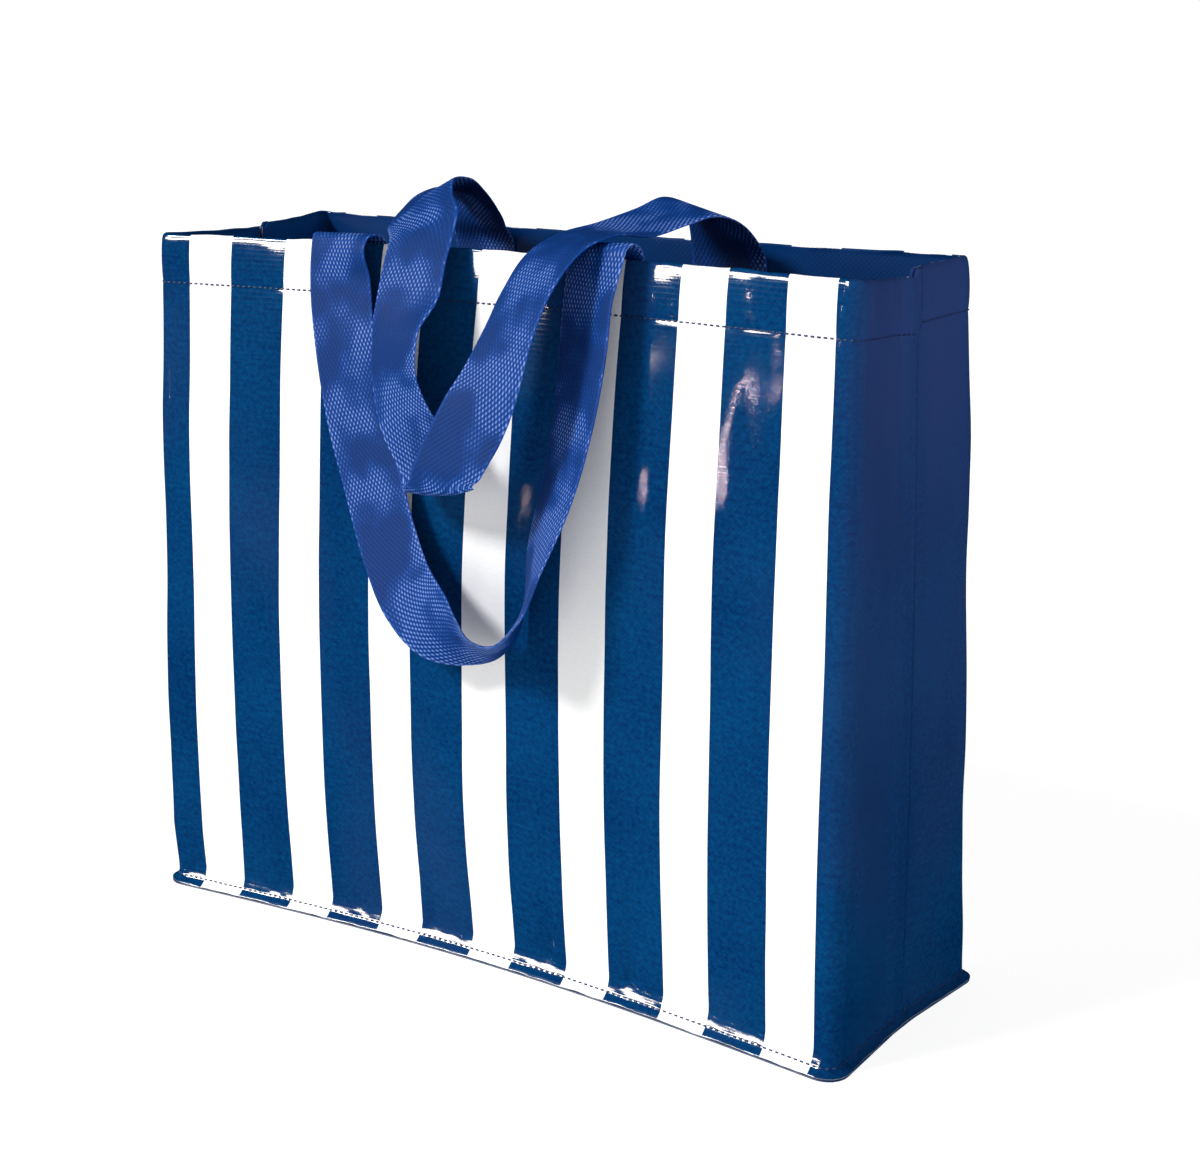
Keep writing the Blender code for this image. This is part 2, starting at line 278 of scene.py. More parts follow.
def outline_columns(step):
    """Columns round half the bag from the left seam edge: x, |y|, normal, and distance round."""
    reach = LAP / 2
    columns = []
    for y in divided([-reach, reach + 2, reach + 2 + LAP_RAMP, DEPTH / 2 - CORNER], step):
        columns.append((-WIDTH / 2, y, -1.0, 0.0))
    for angle in divided([0.0, 90.0], 15.0)[1:-1]:
        a = math.radians(angle)
        x = -WIDTH / 2 + CORNER * (1 - math.cos(a))
        y = DEPTH / 2 - CORNER * (1 - math.sin(a))
        columns.append((x, y, -math.cos(a), math.sin(a)))
    left = list(columns)
    marks = [CORNER - WIDTH / 2, *stripe_edges(), WIDTH / 2 - CORNER]
    for x in divided(marks, step):
        columns.append((x, DEPTH / 2, 0.0, 1.0))
    columns += [(-x, y, -nx, ny) for x, y, nx, ny in reversed(left)]
    columns = np.array(columns)
    gaps = np.hypot(np.diff(columns[:, 0]), np.diff(columns[:, 1]))
    return columns, np.concatenate([[0.0], np.cumsum(gaps)])


def sheet_rows():
    """Rows up the sheet as (part, place): pinched seam, wall, fold and inner hem."""
    rows = [("flange", t) for t in np.linspace(0.0, 1.0, 6)[:-1]]
    low = [float(z) for z in range(FOOT_ROWS + 1)]
    drops = [HEM + 6.0, HEM + 1.5, HEM_STITCH_DROP + 0.9, HEM_STITCH_DROP, HEM_STITCH_DROP - 0.9]
    drops += divided([22.5, 3.0], 2.2)
    drops += [1.9, FOLD / 2]
    rows += [("up", z) for z in low]
    rows += [("between", t) for t in np.linspace(0.0, 1.0, WALL_ROWS)[1:-1]]
    rows += [("down", d) for d in drops]
    rows += [("fold", a) for a in (36.0, 72.0, 108.0, 144.0)]
    rows += [("inside", d) for d in [FOLD / 2, *divided([3.0, HEM], 3.0)]]
    return rows


puff_field = waves(11, 9.0, 30.0)
rim_field = waves(12, 14.0, 10.0)
soft_field = waves(13, 70.0, 90.0)
small_field = waves(14, 22.0, 34.0)
pinch_field = waves(15, 6.5, 30.0)
ear_field = waves(16, 11.0, 6.0)


def lap_of(y, side, share_in_hem):
    """How far the near half of a gusset rises to pass over the far half."""
    start = LAP / 2 + 2
    if side == FAR:
        return np.zeros_like(y)
    ramp = np.clip((start + LAP_RAMP - np.maximum(y, start)) / LAP_RAMP, 0.0, 1.0)
    return (SHEET + CLEAR + FOLD * share_in_hem) * ramp


def eased_least(value, limit, ease):
    """The lesser of two values, with the corner between them rounded."""
    return -ease * np.log(np.exp(-value / ease) + np.exp(-limit / ease))


def foot_inset(x, own, up, side):
    """How far the wall has drawn back from the seam at a height: an even slope, then the wall."""
    base = (FRONT_BOW if side == NEAR else BACK_BOW)[2]
    reach = 6.3 + 1.6 * pinch_field(own, 40.0)
    fuller = 0.8 + 0.2 * np.clip((x + 160.0) / 180.0, 0.0, 1.0)
    slope = FOOT_SLOPE * fuller + 3 * base / HEIGHT * swell_of(x)
    return slope * eased_least(up, reach, 0.9) * np.exp(-up / 60.0)


def rim_inset(x, own, drop, side):
    """The narrow slope that the pressed fold leaves under the rim."""
    rim = (FRONT_BOW if side == NEAR else BACK_BOW)[0]
    reach = 2.6 + 0.7 * rim_field(own, 5.0)
    slope = np.maximum(RIM_SLOPE - 3 * rim / HEIGHT * swell_of(x), 0.0)
    return slope * (reach - eased_least(drop, reach, 0.5))


def lie_of(own, z, drop, up, side, x, ny, calm):
    """How far a wall's outer face stands out from the even wall: hem, creases and waves."""
    inside_hem = np.clip((HEM_STITCH_DROP - drop) / 3.0, 0.0, 1.0)
    over = np.clip(drop / 3.0, 0.0, 1.0)
    crinkle = HEM_CRINKLE * puff_field(own, drop) * inside_hem * over * calm
    out = puff_of(drop) + crinkle - rim_inset(x, own, drop, side) * calm
    out = out - foot_inset(x, own, np.maximum(up, 0.0), side) * ny**2
    out = out - PRESSED * np.exp(-(((drop - HEM_STITCH_DROP) / 1.1) ** 2))
    below = np.exp(-np.maximum(drop - HEM_STITCH_DROP, 0.0) / 7.0) * (drop > HEM_STITCH_DROP)
    out = out + 0.22 * puff_field(own, 60.0) * below * calm
    free = np.clip((drop - 30.0) / 60.0, 0.0, 1.0) * np.clip(up / 30.0, 0.0, 1.0)
    out = out + (WALL_WAVE * soft_field(own, z) + 0.16 * small_field(own, z)) * free * calm
    foot = np.exp(-up / 9.0) * np.clip(up / 2.0, 0.0, 1.0)
    return out + 0.3 * pinch_field(own, 0.0) * foot * calm


def puff_of(drop):
    inside_hem = np.clip((HEM_STITCH_DROP - drop) / 3.0, 0.0, 1.0)
    return HEM_PUFF * np.sin(math.pi * np.clip(drop / HEM_STITCH_DROP, 0, 1)) * inside_hem


def row_of(part, place, x, depth, nx, ny, own, side):
    """One row of a wall: its points, and its heights along the flat sheet."""
    y = side * depth
    top = rim_of(x, y)
    on_gusset = np.abs(nx) > 0.999
    in_hem = 1.0 if part in ("fold", "inside") or (part == "down" and place <= HEM) else 0.0
    lap = np.where(on_gusset, lap_of(depth, side, in_hem), 0.0)
    calm = np.where(on_gusset, np.clip((depth - LAP / 2 - 1.0) / 12.0, 0.0, 1.0), 1.0)
    out = np.zeros_like(x)
    rise = np.zeros_like(x)
    if part == "flange":
        z = np.full_like(x, SEAM_Z)
        rise = FLANGE_Z + (SEAM_Z - FLANGE_Z) * place**1.4 - SEAM_Z + LAP_LIFT * lap
        rise = rise + 0.16 * pinch_field(own, 0.0) * (1.0 - place) * calm
        out = (FLANGE + 0.3 * ear_field(own, 3.0) * calm) * (1.0 - place)
        height = -FLANGE * (1.0 - place) * np.ones_like(x)
    elif part == "up":
        z = SEAM_Z + place + LAP_LIFT * lap * (place == 0.0)
        height = np.full_like(x, place)
    elif part == "between":
        low_z = SEAM_Z + FOOT_ROWS
        z = low_z + (top - HEM - 6.0 - low_z) * place
        height = z - SEAM_Z
    elif part == "down":
        z = top - place
        height = z - SEAM_Z
    elif part == "fold":
        a = math.radians(place)
        z = top - FOLD / 2
        out = FOLD / 2 * (math.cos(a) - 1.0) - rim_inset(x, own, FOLD / 2, side) * calm
        rise = rise + FOLD / 2 * math.sin(a)
        height = top - SEAM_Z + a * FOLD / 2
    else:
        z = top - place
        out = out - FOLD
        height = top - SEAM_Z + place
    share = np.clip((z - SEAM_Z) / (top - SEAM_Z), 0.0, 1.0)
    wx, wy = wall_of(x, y, share, side)
    drop = top - z
    if part == "inside":
        out = out - 0.25 * puff_of(drop)
    elif part != "flange":
        out = out + lie_of(own, z, drop, z - SEAM_Z, side, x, ny, calm)
    if part != "flange":
        rise = rise + 0.35 * rim_field(own, 0.0) * np.exp(-drop / 10.0) * calm
    out = out + lap
    return np.stack([wx + nx * out, wy + ny * out, z + rise], axis=1), height


def wall_sheet(name, side, materials):
    """Front or back cloth with its half gussets as one folded sheet, and its grid of points."""
    columns, round_way = outline_columns(COLUMN_STEP)
    x, depth, nx, ny = columns.T
    own = round_way + (0 if side == NEAR else 700.0)
    found = [row_of(*row, x, depth, nx, side * ny, own, side) for row in sheet_rows()]
    grid = np.array([points for points, _ in found])
    heights = np.array([height for _, height in found])
    rows, cols = grid.shape[:2]
    if side == FAR:
        grid = grid[:, ::-1]
        heights = heights[:, ::-1]
        x = x[::-1]
        round_way = round_way[::-1]
    index = np.arange(rows * cols).reshape(rows, cols)
    corners = [index[:-1, :-1], index[:-1, 1:], index[1:, 1:], index[1:, :-1]]
    quads = np.stack(corners, axis=-1).reshape(-1, 4)
    obj = mesh_object(name, grid.reshape(-1, 3), quads.tolist())
    mesh = obj.data
    for material in materials:
        mesh.materials.append(material)
    edges = stripe_edges()
    middle = (x[:-1] + x[1:]) / 2
    white = np.zeros(cols - 1, bool)
    for left, right in zip(edges[::2], edges[1::2]):
        white |= (middle > left) & (middle < right)
    kinds = np.tile(np.where(white, STRIPE_WHITE, STRIPE_BLUE), (rows - 1, 1))
    first_inside = [part for part, _ in sheet_rows()].index("inside")
    kinds[first_inside - 1 :] = LINING
    mesh.polygons.foreach_set("material_index", kinds.reshape(-1).astype(np.int32))
    lay_out(mesh, np.stack([np.tile(round_way, (rows, 1)), heights], axis=-1).reshape(-1, 2))
    solid = thicken(obj)
    solid.use_even_offset = False
    solid.material_offset = LINING
    solid.material_offset_rim = CUT_EDGE
    return obj, grid


def base_sheet(name, material):
    """The base as rings that shrink to its middle, lifted a little off the floor."""
    columns = outline_columns(6.0)[0]
    loop = []
    for side in (NEAR, FAR):
        half = columns[columns[:, 1] > LAP]
        if side == FAR:
            half = half[::-1]
        for x, depth, nx, ny in half:
            wx, wy = wall_of(x, side * depth, 0.0, side)
            loop.append((float(wx + nx * FLANGE), float(wy + side * ny * FLANGE)))
    ring = np.array(loop)
    centre = ring.mean(axis=0)
    points = []
    faces = []
    count = len(ring)
    shares = [1.0, 0.985, 0.95, 0.85, 0.7, 0.5, 0.25]
    sag = waves(21, 60.0, 60.0)
    for share in shares:
        spot = centre + (ring - centre) * share
        lift = 0.21 + 0.18 * sag(spot[:, 0], spot[:, 1])
        lift = SHEET / 2 + min((1.0 - share) * 4.0, 1.0) * lift
        points += [(px, py, pz) for (px, py), pz in zip(spot, lift)]
    for r in range(len(shares) - 1):
        for i in range(count):
            j = (i + 1) % count
            here = r * count
            faces.append((here + i, here + j, here + count + j, here + count + i))
    points.append((*centre, SHEET / 2 + 0.2))
    last = (len(shares) - 1) * count
    faces += [(last + i, last + (i + 1) % count, len(points) - 1) for i in range(count)]
    obj = mesh_object(name, points, faces)
    obj.data.materials.append(material)
    thicken(obj)
    return obj


# Handles: the middle of the strap and the way its width points, station by station


def inside_stations(x, side):
    """The end of a strap inside the hem, from its cut end up."""
    inset = FOLD + SHEET / 2 + 2 * CLEAR + STRAP / 2
    top = float(rim_of(np.float64(x), np.float64(side * DEPTH / 2)))
    found = []
    for drop in (STRAP_END, HEM, 0.63 * HEM, 0.3 * HEM):
        z = top - drop
        found.append(((x, wall_y(x, z, side) - side * inset, z), along_wall(x, z, side)))
    return found


def over_front_rim(x, rise, swing):
    """The loose turn of the strap from inside the hem to the front of the bag."""
    wall = wall_y(x, HEIGHT, NEAR)
    slope = along_wall(x, HEIGHT, NEAR)[1] / 2
    inset = FOLD + SHEET / 2 + 2 * CLEAR + STRAP / 2
    middle = wall + (inset - STAND_OFF) / 2
    radius = (inset + STAND_OFF) / 2
    found = []
    for angle in (0, 45, 90, 135, 180):
        a = math.radians(angle)
        turned = (1 - math.cos(a)) / 2
        place = (x, middle + radius * math.cos(a), HEIGHT + rise * math.sin(a))
        across = (1.0, slope * (1 - turned) - swing * turned, swing * turned / 4)
        found.append((place, across))
    return found


def placed(loop, left, right):
    """Stations given as shares of the legs' spacing, the depth and the height, in millimetres."""
    centre = (left + right) / 2
    reach = (right - left) / 2
    found = []
    for (across_share, depth_share, height_share), across in loop:
        place = (centre + reach * across_share, DEPTH / 2 * depth_share, HEIGHT * height_share)
        found.append((place, across))
    return found


def front_handle_stations():
    """Hangs in front: faces out on the left, turns edge-on below, leans out on the right."""
    left, right = FRONT_LEGS
    stations = inside_stations(left, NEAR)
    stations += over_front_rim(left, LEFT_RISE, LEFT_SWING)
    loop = [
        ((-0.99, -0.85, 0.950), (1.00, -0.05, 0.08)),
        ((-0.92, -0.90, 0.866), (1.00, -0.05, 0.14)),
        ((-0.80, -0.92, 0.760), (0.96, -0.02, 0.26)),
        ((-0.65, -0.96, 0.676), (0.92, -0.05, 0.38)),
        ((-0.46, -1.04, 0.595), (0.83, -0.03, 0.56)),
        ((-0.22, -1.15, 0.536), (0.66, -0.02, 0.75)),
        ((0.07, -1.26, 0.506), (0.42, -0.18, 0.89)),
        ((0.28, -1.28, 0.494), (0.26, -0.58, 0.77)),
        ((0.45, -1.28, 0.489), (0.18, -0.86, 0.48)),
        ((0.59, -1.26, 0.500), (0.26, -0.95, 0.18)),
        ((0.69, -1.21, 0.536), (0.45, -0.89, 0.03)),
        ((0.77, -1.15, 0.615), (0.68, -0.73, -0.04)),
        ((0.88, -1.08, 0.701), (0.79, -0.60, -0.05)),
        ((0.96, -1.01, 0.796), (0.86, -0.51, -0.01)),
        ((0.98, -0.93, 0.888), (0.90, -0.42, 0.04)),
        ((0.98, -0.87, 0.953), (0.91, -0.40, 0.05)),
    ]
    stations += placed(loop, left, right)
    stations += over_front_rim(right, RIGHT_RISE, RIGHT_SWING)[::-1]
    stations += inside_stations(right, NEAR)[::-1]
    return stations


def back_handle_stations():
    """Reaches forwards over the bag, folds back on itself in front and returns to the back."""
    left, right = BACK_LEGS
    stations = inside_stations(left, FAR)
    loop = [
        ((-0.99, 0.64, 1.011), (0.98, -0.18, -0.02)),
        ((-0.93, 0.51, 1.042), (0.92, -0.38, -0.10)),
        ((-0.88, 0.26, 1.064), (0.93, -0.32, -0.02)),
        ((-0.86, 0.00, 1.071), (0.94, -0.13, 0.24)),
        ((-0.82, -0.26, 1.064), (0.88, -0.09, 0.43)),
        ((-0.70, -0.51, 1.046), (0.92, -0.04, 0.36)),
        ((-0.56, -0.70, 1.022), (0.96, 0.03, 0.22)),
        ((-0.52, -0.86, 0.978), (0.98, -0.02, 0.17)),
        ((-0.50, -0.98, 0.930), (0.98, -0.05, 0.18)),
        ((-0.53, -1.07, 0.885), (0.91, -0.30, 0.26)),
        ((-0.54, -1.08, 0.832), (0.90, -0.34, 0.28)),
        ((-0.46, -1.09, 0.782), (0.90, -0.25, 0.36)),
        ((-0.31, -1.11, 0.743), (0.93, -0.21, 0.26)),
        ((-0.18, -1.14, 0.716), (0.96, -0.20, 0.18)),
        ((-0.10, -1.20, 0.701), (0.97, -0.20, 0.13)),
        ((-0.05, -1.27, 0.696), (0.97, -0.20, 0.10)),
        ((0.01, -1.34, 0.701), (0.97, -0.18, 0.06)),
        ((0.06, -1.36, 0.719), (0.97, -0.15, -0.02)),
        ((0.13, -1.36, 0.746), (0.95, -0.15, -0.14)),
        ((0.25, -1.34, 0.793), (0.93, -0.13, -0.30)),
        ((0.37, -1.30, 0.846), (0.95, -0.26, -0.18)),
        ((0.44, -1.21, 0.905), (0.93, -0.36, 0.02)),
        ((0.51, -1.07, 0.964), (0.93, -0.34, 0.12)),
        ((0.59, -0.88, 1.008), (0.96, -0.26, 0.12)),
        ((0.67, -0.64, 1.027), (0.96, -0.24, 0.05)),
        ((0.76, -0.29, 1.031), (0.95, -0.30, -0.10)),
        ((0.85, 0.06, 1.045), (0.94, -0.33, -0.13)),
        ((0.93, 0.29, 1.056), (0.92, -0.34, -0.18)),
        ((0.99, 0.51, 1.042), (0.94, -0.31, -0.13)),
        ((1.00, 0.63, 1.017), (0.98, -0.16, -0.03)),
    ]
    stations += placed(loop, left, right)
    stations += inside_stations(right, FAR)[::-1]
    return stations


def smooth_between(a, b, slope_a, slope_b, span, t):
    h01 = t * t * (3 - 2 * t)
    h10 = t * (1 - t) ** 2
    h11 = t * t * (t - 1)
    return a * (1 - h01) + b * h01 + (slope_a * h10 + slope_b * h11) * span


def strap_line(stations, step):
    """Middle points and width directions, evenly spaced along the smooth curve."""
    middles = np.array([m for m, _ in stations], float)
    acrosses = np.array([a for _, a in stations], float)
    acrosses /= np.linalg.norm(acrosses, axis=1)[:, None]
    spans = np.linalg.norm(np.diff(middles, axis=0), axis=1)

    def slopes(values):
        found = [(values[1] - values[0]) / spans[0]]
        for i in range(1, len(values) - 1):
            before = (values[i] - values[i - 1]) / spans[i - 1]
            after = (values[i + 1] - values[i]) / spans[i]
            found.append((before * spans[i] + after * spans[i - 1]) / (spans[i - 1] + spans[i]))
        found.append((values[-1] - values[-2]) / spans[-1])
        return found

    both = []
    for values in (middles, acrosses):
        slope = slopes(values)
        line = []
        for i, span in enumerate(spans):
            for t in np.linspace(0.0, 1.0, 24, endpoint=False):
                line.append(
                    smooth_between(values[i], values[i + 1], slope[i], slope[i + 1], span, t)
                )
        line.append(values[-1])
        both.append(np.array(line))
    line, across = both
    travelled = np.concatenate([[0.0], np.cumsum(np.linalg.norm(np.diff(line, axis=0), axis=1))])
    total = travelled[-1]
    at = np.linspace(0.0, total, math.ceil(total / step) + 1)
    line = np.stack([np.interp(at, travelled, line[:, k]) for k in range(3)], axis=1)
    across = np.stack([np.interp(at, travelled, across[:, k]) for k in range(3)], axis=1)
    along = np.gradient(line, axis=0)
    along /= np.linalg.norm(along, axis=1)[:, None]
    across /= np.linalg.norm(across, axis=1)[:, None]
    slant = (across * along).sum(1)
    square = np.sqrt(np.maximum(1 - slant**2, 0.5))
    face = np.cross(along, across)
    face /= np.linalg.norm(face, axis=1)[:, None]
    return at, line, across / square[:, None], face, slant / square, total


def narrow(across_share):
    """How much the strap draws in where it turns, most at its outer edge."""
    return 0.1 + 0.16 * np.clip(across_share, 0.0, 1.0) ** 2


def strap_mesh(name, stations, material, seed, roll=0.0):
    """A woven strap with rounded edges and a pebbled face on both sides."""
    at, line, across, face, slant, total = strap_line(stations, STRAP_STEP)
    reach = STRAP_WIDTH / 2
    offs = np.linspace(-1.0, 1.0, STRAP_COLUMNS) * (reach - 0.35)
    share = offs[None, :] / reach
    half = STRAP / 2 * np.sqrt(np.clip(1.0 - np.abs(offs / reach) ** 30, 0.05, 1.0))
    u = offs[None, :]
    v = at[:, None] + u * slant[:, None]
    pebble = np.cos(2 * math.pi * u / PEBBLE_ACROSS) * np.cos(math.pi * v / PEBBLE_ALONG)
    lift = PEBBLE_LIFT * pebble * (np.abs(u) < reach - 1.6)
    shift = 0.12 * waves(seed, 40.0, 60.0)(at, 0.0)[:, None]
    # the lowest place in front of the bag is where the strap turns back on itself
    ahead = np.where(line[:, 1] < -84.0, line[:, 2], 9999.0)
    turn = roll * np.exp(-(((at - at[np.argmin(ahead)]) / 11.0) ** 2))[:, None]
    sag = turn * (2.6 * (share**2 - 1.0) + 1.8 * share)
    rows = []
    for sign in (1.0, -1.0):
        height = sign * (half[None, :] - 0.12 + lift)
        drawn = offs[None, :] * (1.0 - turn * narrow(share)) + shift
        points = line[:, None, :] + across[:, None, :] * drawn[:, :, None]
        points = points + face[:, None, :] * height[:, :, None]
        points[:, :, 2] += sag
        rows.append(points[:, :: int(sign)])
    edges = []
    for sign in (1.0, -1.0):
        spot = line + across * (sign * reach * (1.0 - turn * narrow(sign)) + shift)
        spot[:, 2] += sag[:, -1 if sign > 0 else 0]
        edges.append(spot[:, None, :])
    ring = np.concatenate([rows[0], edges[0], rows[1], edges[1]], axis=1)
    count, size = ring.shape[:2]
    index = np.arange(count * size).reshape(count, size)
    after = np.roll(index, -1, axis=1)
    quads = np.stack([index[:-1], index[1:], after[1:], after[:-1]], axis=-1).reshape(-1, 4)
    faces = [*quads.tolist(), index[0].tolist(), index[-1][::-1].tolist()]
    obj = mesh_object(name, ring.reshape(-1, 3), faces)
    obj.data.materials.append(material)
    width_way = np.concatenate([offs, [reach], offs[::-1], [-reach]])
    run = at[:, None] + width_way[None, :] * slant[:, None]
    ways = np.stack([np.tile(width_way, (count, 1)), run], axis=-1)
    lay_out(obj.data, ways.reshape(-1, 2))
    return obj, total


def thread_line(name, lines, material):
    """Short stitches laid along each line of (points, outward normals)."""
    sides = 6
    steps = 6
    t = np.linspace(-0.5, 0.5, steps)
    arch = np.cos(math.pi * t) ** 0.5
    arch[0] = arch[-1] = 0.0
    rise = -0.45 + (0.4 + THREAD) * arch
    thick = THREAD * np.where(np.abs(t) > 0.49, 0.55, 1.0)
    turns = 2 * math.pi * np.arange(sides) / sides
    rings = np.arange(steps * sides).reshape(steps, sides)
    after = np.roll(rings, -1, axis=1)
    tube = np.stack([rings[:-1], after[:-1], after[1:], rings[1:]], axis=-1).reshape(-1, 4)
    points = []
    faces = []
    for line, normals in lines:
        gaps = np.linalg.norm(np.diff(line, axis=0), axis=1)
        travelled = np.concatenate([[0.0], np.cumsum(gaps)])
        for i in range(int(travelled[-1] / STITCH_PITCH)):
            at = (i + 0.5 + t * STITCH_SHARE) * STITCH_PITCH
            spot = np.stack([np.interp(at, travelled, line[:, k]) for k in range(3)], axis=1)
            norm = np.stack([np.interp(at, travelled, normals[:, k]) for k in range(3)], axis=1)
            norm /= np.linalg.norm(norm, axis=1)[:, None]
            way = np.gradient(spot, axis=0)
            way /= np.linalg.norm(way, axis=1)[:, None]
            side_way = np.cross(way, norm)
            round_about = np.cos(turns)[None, :, None] * side_way[:, None, :]
            round_about = round_about + np.sin(turns)[None, :, None] * norm[:, None, :]
            middle = spot + norm * rise[:, None]
            stitch = middle[:, None, :] + round_about * thick[:, None, None]
            first = len(points)
            points += stitch.reshape(-1, 3).tolist()
            faces += (tube + first).tolist()
            faces += [(rings[0][::-1] + first).tolist(), (rings[-1] + first).tolist()]
    obj = mesh_object(name, points, faces)
    obj.data.materials.append(material)
    return obj


def row_line(grid, row):
    """The points and outward normals along one row of a wall's grid, short of its ends."""
    line = grid[row]
    way = np.gradient(line, axis=0)
    up = grid[row + 1] - grid[row - 1]
    normals = np.cross(way, up)
    normals /= np.linalg.norm(normals, axis=1)[:, None]
    return line[TRIMMED:-TRIMMED], normals[TRIMMED:-TRIMMED]


# Materials


def new_material(name):
    """A material with its tree and its main shader."""
    material = bpy.data.materials.new(name)
    material.use_nodes = True
    return material, material.node_tree, material.node_tree.nodes["Principled BSDF"]


def node(tree, kind, **values):
    found = tree.nodes.new(kind)
    for key, value in values.items():
        setattr(found, key, value)
    return found


def cloth_place(tree, scale):
    """The sheet's own coordinates, in metres, times a scale."""
    place = node(tree, "ShaderNodeUVMap", uv_map="cloth_way")
    mapping = node(tree, "ShaderNodeMapping")
    mapping.inputs["Scale"].default_value = (*scale, 1.0)
    tree.links.new(place.outputs["UV"], mapping.inputs["Vector"])
    return mapping.outputs["Vector"]


def math_node(tree, operation, a, b=0.0, c=0.0):
    """A sum of sockets or numbers."""
    found = node(tree, "ShaderNodeMath", operation=operation)
    for socket, value in zip(found.inputs, (a, b, c)):
        if hasattr(value, "is_output"):
            tree.links.new(value, socket)
        else:
            socket.default_value = value
    return found.outputs[0]


def noise(tree, vector, scale, detail=2.0):
    found = node(tree, "ShaderNodeTexNoise")
    found.inputs["Scale"].default_value = scale
    found.inputs["Detail"].default_value = detail
    tree.links.new(vector, found.inputs["Vector"])
    return found.outputs[0]


def roughened(tree, shader, height, strength, distance):
    """Fine relief from a height, on the shader's normal."""
    found = node(tree, "ShaderNodeBump")
    found.inputs["Strength"].default_value = strength
    found.inputs["Distance"].default_value = distance
    tree.links.new(height, found.inputs["Height"])
    tree.links.new(found.outputs[0], shader.inputs["Normal"])


def held(tree, value):
    """A value kept between 0 and 1."""
    found = node(tree, "ShaderNodeClamp")
    tree.links.new(value, found.inputs[0])
    return found.outputs[0]


def tape_height(tree):
    """Plain weave of flat tapes, rounded over and under, and the place along the sheet's height."""
    vector = cloth_place(tree, (1.0 / (TAPE * MM), 1.0 / (TAPE * MM)))
    split = node(tree, "ShaderNodeSeparateXYZ")
    tree.links.new(vector, split.inputs[0])
    u, v = split.outputs[0], split.outputs[1]
    cu = math_node(tree, "COSINE", math_node(tree, "MULTIPLY", u, math.pi))
    cv = math_node(tree, "COSINE", math_node(tree, "MULTIPLY", v, math.pi))
    return math_node(tree, "MULTIPLY", cu, cv), v


def tinted(tree, colour, other, amount):
    """One colour drifting towards another by a share that varies from place to place."""
    mix = node(tree, "ShaderNodeMix", data_type="RGBA")
    mix.inputs[6].default_value = (*colour, 1.0)
    mix.inputs[7].default_value = (*other, 1.0)
    tree.links.new(amount, mix.inputs[0])
    return mix.outputs[2]


def blended(tree, under, colour, amount):
    """One colour over another socket's colour, by a share."""
    mix = node(tree, "ShaderNodeMix", data_type="RGBA")
    tree.links.new(under, mix.inputs[6])
    mix.inputs[7].default_value = (*colour, 1.0)
    tree.links.new(amount, mix.inputs[0])
    return mix.outputs[2]


def ranged(tree, value, low, high, to_low, to_high):
    """A value's place between two limits, carried to another range and held there."""
    found = node(tree, "ShaderNodeMapRange")
    for socket, number in zip(list(found.inputs)[1:5], (low, high, to_low, to_high)):
        socket.default_value = number
    tree.links.new(value, found.inputs[0])
    return found.outputs[0]


def film(name, inks_and_reflection, roughness, bump, specular):
    """Printed glossy film laminated on woven tapes, with painted reflection and painted gusset
    shade.
    """
    colour, shade, cast = inks_and_reflection
    material, tree, shader = new_material(name)
    weave, v = tape_height(tree)
    vector = cloth_place(tree, (1.0, 1.0))
    cloud = noise(tree, vector, 14.0, 5.0)
    drift = noise(tree, cloth_place(tree, (1.0, 0.55)), 7.0, 3.0)
    grain = noise(tree, cloth_place(tree, (0.14, 1.0)), 700.0)
    mottle = noise(tree, vector, 420.0, 4.0)
    tone = math_node(tree, "MULTIPLY_ADD", cloud, 1.4, -1.65)
    tone = math_node(tree, "MULTIPLY_ADD", mottle, 2.0, tone)
    tone = math_node(tree, "MULTIPLY_ADD", grain, 0.9, tone)
    tone = math_node(tree, "MULTIPLY_ADD", weave, 0.12, tone)
    printed = tinted(tree, colour, shade, held(tree, tone))
    # Painted reflection: a purple tint in soft random clouds, and most at the top of the right
    # gusset.
    place = node(tree, "ShaderNodeSeparateXYZ")
    tree.links.new(vector, place.inputs[0])
    end = ranged(tree, place.outputs[0], GUSSET_FROM, GUSSET_TO, 0.0, 1.0)
    high = ranged(tree, place.outputs[1], 0.02, 0.34, 0.0, 1.0)
    gusset_top_reflection = math_node(tree, "MULTIPLY", math_node(tree, "MULTIPLY", end, high), 0.8)
    drift = held(tree, math_node(tree, "MULTIPLY_ADD", drift, 3.0, -1.5))
    with_painted_reflection = blended(tree, printed, cast, math_node(tree, "MULTIPLY_ADD", drift, 0.7, gusset_top_reflection))
    # Painted shade: the right gusset darkens towards its bottom.
    low = math_node(tree, "SUBTRACT", 1.0, high)
    gusset_low_shade = math_node(tree, "MULTIPLY", math_node(tree, "MULTIPLY", end, low), 0.3)
    tree.links.new(blended(tree, with_painted_reflection, GUSSET_PAINTED_SHADE, gusset_low_shade), shader.inputs["Base Color"])
    ribs = math_node(tree, "COSINE", math_node(tree, "MULTIPLY", v, 2 * math.pi * TAPE / RIBS))
    rough = math_node(tree, "MULTIPLY_ADD", cloud, 0.08, roughness - 0.04)
    rough = math_node(tree, "MULTIPLY_ADD", math_node(tree, "MAXIMUM", ribs, 0.0), 0.05, rough)
    tree.links.new(rough, shader.inputs["Roughness"])
    lines = math_node(tree, "COSINE", math_node(tree, "MULTIPLY", v, 2 * math.pi))
    height = math_node(tree, "MULTIPLY_ADD", weave, 0.35, math_node(tree, "MULTIPLY", lines, cloud))
    height = math_node(tree, "MULTIPLY_ADD", grain, 0.5, height)
    roughened(tree, shader, height, bump, 0.0001)
    shader.inputs["IOR"].default_value = 1.5
    shader.inputs["Specular IOR Level"].default_value = specular
    return material


